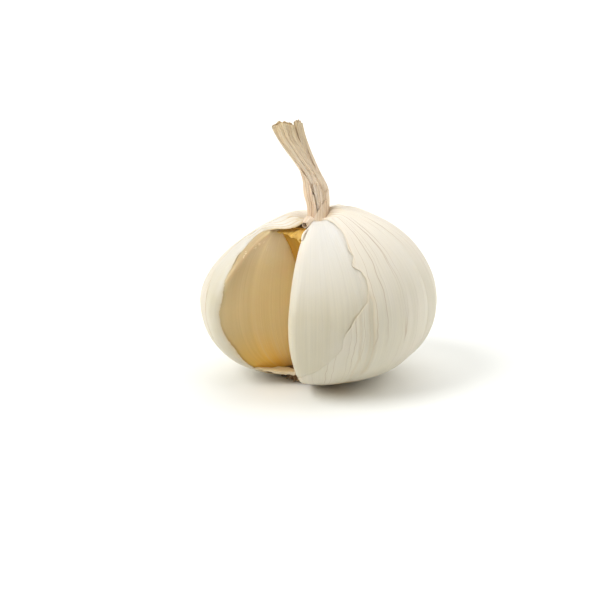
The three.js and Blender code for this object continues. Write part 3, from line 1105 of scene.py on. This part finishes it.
# upwards: x, y, z, half width, half depth, turn
neckMainPath = [
    (-0.1, -0.2, 39.6, 2.5, 2.4, 0), (-0.1, -0.4, 43.4, 2.4, 2.1, 5), (-0.3, -0.5, 46.5, 2.6, 2.0, 8),
    (-0.9, -0.6, 49.5, 2.4, 1.7, 10), (-2.1, -0.6, 52.0, 2.1, 1.4, 12), (-3.9, -0.7, 54.8, 2.1, 1.35, 12),
    (-6.0, -0.7, 58.0, 2.45, 1.3, 10), (-7.9, -0.7, 61.2, 2.6, 1.25, 8), (-8.85, -0.7, 64.3, 2.75, 1.3, 6),
]
neckBackPath = [
    (1.4, 2.9, 40.6, 1.5, 0.9, -25), (1.2, 2.6, 46.3, 1.5, 0.9, -20), (0.6, 2.2, 48.7, 1.5, 0.9, -10),
    (-0.8, 1.5, 51.8, 1.3, 0.9, 0), (-2.2, 1.0, 55.0, 1.3, 0.9, 8), (-3.4, 0.8, 58.0, 1.25, 0.9, 12),
    (-4.5, 0.6, 61.4, 1.15, 0.85, 14), (-5.1, 0.5, 64.5, 1.15, 0.75, 14),
]


def pathAt(path, t):
    # a smooth line through the stations
    last = len(path) - 1
    k = min(int(t * last), last - 1)
    f = t * last - k
    p0, p1, p2, p3 = (path[max(0, min(last, k + d))] for d in (-1, 0, 1, 2))
    return [
        0.5 * (2 * b + (c - a) * f + (2 * a - 5 * b + 4 * c - d) * f * f + (3 * b - a - 3 * c + d) * f ** 3)
        for a, b, c, d in zip(p0, p1, p2, p3)
    ]


def heightShare(path, z):
    # the place along a path that lies at a height
    low, high = 0.0, 1.0
    for _ in range(22):
        middle = (low + high) / 2
        low, high = (middle, high) if pathAt(path, middle)[2] < z else (low, middle)
    return (low + high) / 2


def strandPoint(path, t, angle, off):
    # off lies outside the strand's smooth oval section
    x, y, z, wide, deep, turn = pathAt(path, t)
    outward = Vector((math.cos(angle) / wide, math.sin(angle) / deep, 0)).normalized()
    flat = Vector((wide * math.cos(angle), deep * math.sin(angle), 0)) + outward * off
    flat.rotate(Matrix.Rotation(math.radians(turn), 3, "Z"))
    return flat + Vector((x, y, z))


def fibres(angle, t, form):
    # lengthwise ridges and the sharper creases between them, in millimetres, and how much painted shade lies
    # in each crease
    seed = form["seed"]
    drift = angle + 0.22 * wobble(t * 2.2, seed) + 0.1 * wobble(math.cos(angle) * 2 + t * 5, seed + 3)

    def unevenness(across, along):
        return noise.noise(Vector((math.cos(drift) * across, math.sin(drift) * across, t * along + seed)))

    ridges = math.sin(drift * form["ridges"] + 1.3)
    ridges += 0.6 * math.sin(drift * form["ridges"] * 1.7 + 4 * t + 0.4)
    creases = abs(math.sin(drift * form["creases"] / 2 + 0.8)) ** 0.5 - 1
    creases *= 0.65 + 0.6 * unevenness(2, 4)
    fine = unevenness(9, 3)
    depth = form["ridgeDepth"] * (0.5 * ridges + 0.7 * fine) + form["creaseDepth"] * creases
    return depth, 0.85 * clamp01((-creases - 0.4) / 0.5)


neckForm = {
    # fray: how ragged the top end is; slope: how much lower it is at the left
    "mainStrand": {
        "node": "neck_main", "path": neckMainPath, "around": 190, "upward": 130, "thickness": 0.28,
        "seed": 11, "ridges": 9, "ridgeDepth": 0.2, "creases": 31, "creaseDepth": 0.3,
        "fray": 0.35, "slope": 0.9,
    },
    "backStrand": {
        "node": "neck_back", "path": neckBackPath, "around": 110, "upward": 110, "thickness": 0.22,
        "seed": 23, "ridges": 6, "ridgeDepth": 0.15, "creases": 17, "creaseDepth": 0.26,
        "fray": 0.6, "slope": 0.2,
    },
}


def strandPiece(name):
    form = neckForm[name]

    def place(u, v):
        angle = 2 * math.pi * u
        off, crease = fibres(angle, v, form)
        point = strandPoint(form["path"], v, angle, off)
        end = ease(0.86, 1, v)
        left = max(0.0, -math.cos(angle))
        point.z += end * (form["fray"] * wobble(angle * 3.2, form["seed"]) - form["slope"] * left ** 2)
        point.z += end * 0.4 * max(0.0, math.sin(angle)) - end * 0.5 * max(0.0, math.cos(angle)) ** 2
        return point, (u, v), crease

    sheet = gridSheet(form["around"], form["upward"], place, True, flipped=True)
    piece(name, thicken(sheet, form["thickness"]), *driedNeck, form["node"])


for name in neckForm:
    strandPiece(name)

# torn layers that wrap the neck: height and angle along the left and right edges, height and distance off it
wrapForm = {
    "sideStrand": {
        "nodes": ["neck_side"], "from": 40.2, "to": 53.5,
        "left": [(41, 165), (48, 160), (53.5, 182)],
        "right": [(41, 262), (42.5, 257), (50, 232), (53.5, 200)],
        "off": [(41, 0.2), (44, 0.35), (47, 0.75), (50, 0.65), (52, 0.4), (53.5, 0.1)],
        "curl": 0.25, "thickness": 0.3, "columns": 60, "rows": 80, "seed": 41, "lean": 0.0,
        # the shade value is painted shade over the whole side strand
        "ridges": 9, "ridgeDepth": 0.14, "creases": 25, "creaseDepth": 0.26, "fray": 0.0, "paintedShade": 0.2,
    },
    "neckCuff": {
        "nodes": [], "from": 40.0, "to": 49.8,
        "left": [(40, 272), (42.5, 264), (50, 241)],
        "right": [(40, 420), (50, 415)],
        "off": [(40, 0.35), (50, 0.3)],
        "curl": 0.0, "thickness": 0.18, "columns": 120, "rows": 80, "seed": 53, "lean": 2.3,
        "ridges": 9, "ridgeDepth": 0.16, "creases": 33, "creaseDepth": 0.26, "fray": 1.3, "paintedShade": 0.0,
    },
    "neckCollar": {
        "nodes": ["neck_collar"], "from": 39.6, "to": 45.6,
        "left": [(39.6, 238), (42, 252), (44, 278), (45.6, 300)],
        "right": [(39.6, 325), (42, 326), (44, 322), (45.6, 308)],
        "off": [(39.6, 1.2), (40.8, 0.85), (42.5, 0.7), (44, 0.62), (45.6, 0.5)],
        "curl": 0.2, "thickness": 0.2, "columns": 50, "rows": 50, "seed": 61, "lean": 0.0,
        "ridges": 5, "ridgeDepth": 0.08, "creases": 4, "creaseDepth": 0.1, "fray": 0.0, "paintedShade": 0.0,
    },
}


def wrapPiece(name):
    form = wrapForm[name]

    def place(u, v):
        z = mix(form["from"], form["to"], v)
        degrees = mix(follow(form["left"], z), follow(form["right"], z), u)
        z += form["fray"] * wobble(degrees / 9, form["seed"], 4) * ease(0.7, 1, v)
        z -= form["lean"] * ease(250, 335, degrees) * v
        angle = math.radians(degrees)
        t = heightShare(neckMainPath, z)
        off, crease = fibres(angle, t, form)
        off += followSoft(form["off"], z, 0.6) + form["curl"] * near(1 - u, 0.08)
        point = strandPoint(neckMainPath, t, angle, off)
        # painted shade in the creases and over the strand
        return point, (degrees / 360, v / 3), clamp01(crease + form["paintedShade"])

    skinPiece(name, form, place, driedNeck, *form["nodes"], flipped=True)


for name in wrapForm:
    wrapPiece(name)
print("neck made")


# root plate and stem core

plateForm = {
    "radius": (plateHigh.x - plateLow.x) / 2 - 0.9,   # the root stubs stand out past it
    "foot": 8.5, "height": plateHigh.z, "bevel": 0.8,
    "hollow": 0.4, "shoulder": 1.2, "around": 120, "rows": 26,
    "uneven": 0.18, "footUneven": 0.25, "sideUneven": 0.25,
    "roots": 64, "rootWidth": 0.42, "rootTip": 0.55, "rootLength": 1.5, "rootAround": 8, "rootRows": 6,
}
stalkForm = {"narrowing": 0.86, "flutes": 5, "fluteDepth": 0.12, "around": 48, "rows": 60}


def platePiece():
    form = plateForm
    radius, height = form["radius"], form["height"]
    hollow, bevel = form["hollow"], form["bevel"]
    # radius and height, from the middle of the flat foot round to the middle of the top
    profile = [(hollow, 0), (form["foot"] * 0.6, 0), (form["foot"], 0), (radius, bevel),
               (radius, height - bevel), (radius - form["shoulder"], height), (hollow, height)]

    def disc(u, v):
        angle = 2 * math.pi * u
        k = v * (len(profile) - 1)
        i = min(int(k), len(profile) - 2)
        (r0, z0), (r1, z1) = profile[i], profile[i + 1]
        r, z = mix(r0, r1, k - i), mix(z0, z1, k - i)
        rough = noise.noise(Vector((math.cos(angle) * r / 1.3, math.sin(angle) * r / 1.3, z)))
        if z > 0.05:
            z += form["uneven"] * (rough - abs(rough))
        else:
            z += form["footUneven"] * max(0.0, rough) * ease(form["foot"], 4, r)
        r += form["sideUneven"] * rough * ease(7, 9, r)
        return Vector((r * math.sin(angle), -r * math.cos(angle), z)), (u, v), 0.2 * max(0.0, rough)

    def root(index):
        azimuth = 360 * (index + 0.35 * wobble(index * 1.7, 71)) / form["roots"]
        low = 0.55 + 1.1 * noise.noise(Vector((index * 0.77, 3, 1))) ** 2 + 0.5 * (index % 3)
        length = form["rootLength"] * (0.6 + 0.5 * abs(noise.noise(Vector((index * 1.3, 9, 4)))))

        def place(u, v):
            angle = 2 * math.pi * u
            width = form["rootWidth"] * mix(1, form["rootTip"], v)
            swing = 5 * v * noise.noise(Vector((index * 2.1, 5, 7)))
            spine = polar(azimuth + swing, radius - 0.5 + length * v, max(0.35, low - 0.3 * v * v))
            side, up = polar(azimuth + 90, 1, 0), Vector((0, 0, 1))
            point = spine + (side * math.cos(angle) + up * math.sin(angle)) * width
            return point, (u / 6, v / 6), 0.4 + 0.4 * v

        return tube(form["rootAround"], form["rootRows"], place)

    sheets = [tube(form["around"], form["rows"], disc)]
    sheets += [root(index) for index in range(form["roots"])]
    piece("rootPlate", joined(sheets), *corkyPlate, "basal_plate")


def stalkPiece():
    form = stalkForm
    wide = (stalkHigh.x - stalkLow.x) / 2

    def place(u, v):
        angle = 2 * math.pi * u
        fluted = form["fluteDepth"] * abs(math.sin(angle * form["flutes"] + 2 * v))
        radius = mix(wide, wide * form["narrowing"], v) - fluted
        z = mix(stalkLow.z, stalkHigh.z, v)
        return Vector((radius * math.sin(angle), -radius * math.cos(angle), z)), (u, v), 0.3

    piece("stemCore", tube(form["around"], form["rows"], place), *driedCore, "central_stalk")


platePiece()
stalkPiece()
print("plate and core made")


# stage, light and camera

floorForm = {"reach": 30.0, "colour": (0.83, 0.85, 0.84), "roughness": 0.6}   # reach in metres
reach = floorForm["reach"]
floorCorners = [(-reach, -reach, 0), (reach, -reach, 0), (reach, reach, 0), (-reach, reach, 0)]
floorMesh = bpy.data.meshes.new("floor")
floorMesh.from_pydata(floorCorners, [], [(0, 1, 2, 3)])
floorMaterial = bpy.data.materials.new("paleFloor")
floorMaterial.use_nodes = True
floorShader = floorMaterial.node_tree.nodes["Principled BSDF"]
floorShader.inputs["Base Color"].default_value = (*floorForm["colour"], 1)
floorShader.inputs["Roughness"].default_value = floorForm["roughness"]
floorMesh.materials.append(floorMaterial)
floor = addObject("floor", floorMesh)

# the room is warm and pale, and dimmer in front and at the right
roomForm = {
    "colour": (1.0, 0.955, 0.87, 1), "dim": 0.15, "bright": 0.58, "towards": (-0.75, 0.65, 0.1), "full": 0.35,
}
world = bpy.data.worlds.new("studio")
bpy.context.scene.world = world
world.use_nodes = True
room = world.node_tree
room.nodes["Background"].inputs["Color"].default_value = roomForm["colour"]
towards = vectorMath(room, "DOT_PRODUCT", room.nodes.new("ShaderNodeTexCoord").outputs["Generated"])
towards.inputs[1].default_value = roomForm["towards"]
dimPart, brightPart = (0.0, grey(roomForm["dim"])), (roomForm["full"], grey(roomForm["bright"]))
level = ramp(room, towards.outputs["Value"], dimPart, brightPart)
room.links.new(level, room.nodes["Background"].inputs["Strength"])

# a soft key from the upper left, a broad overhead light and a weaker one at the right
lightForm = {
    "key": {"from": (-0.70, -0.27, 0.66), "level": 2.4, "spread": 40},
    "overhead": {"from": (0.38, 0.35, 0.88), "level": 1.95, "spread": 95},
    "side": {"from": (0.93, -0.2, 0.3), "level": 1.22, "spread": 90},
}
for name, form in lightForm.items():
    data = bpy.data.lights.new(name, "SUN")
    data.energy = form["level"]
    data.angle = math.radians(form["spread"])
    addObject(name, data).rotation_euler = Vector(form["from"]).to_track_quat("Z", "Y").to_euler()

view = {"elevation": 15.0, "distance": 300.0, "aim": (-4.63, 0.0, 19.5), "lens": 70.74, "sensor": 36.0}
lift = math.radians(view["elevation"])
backwards = Vector((0, -math.cos(lift), math.sin(lift)))
camera = addObject("camera", bpy.data.cameras.new("camera"))
camera.data.lens = view["lens"]
camera.data.sensor_width = view["sensor"]
camera.data.clip_start = 0.01
camera.location = (Vector(view["aim"]) + view["distance"] * backwards) * mm
camera.rotation_euler = (math.pi / 2 - lift, 0, 0)
bpy.context.scene.camera = camera
bpy.context.scene.view_settings.view_transform = "Standard"
print("floor, light and camera set")
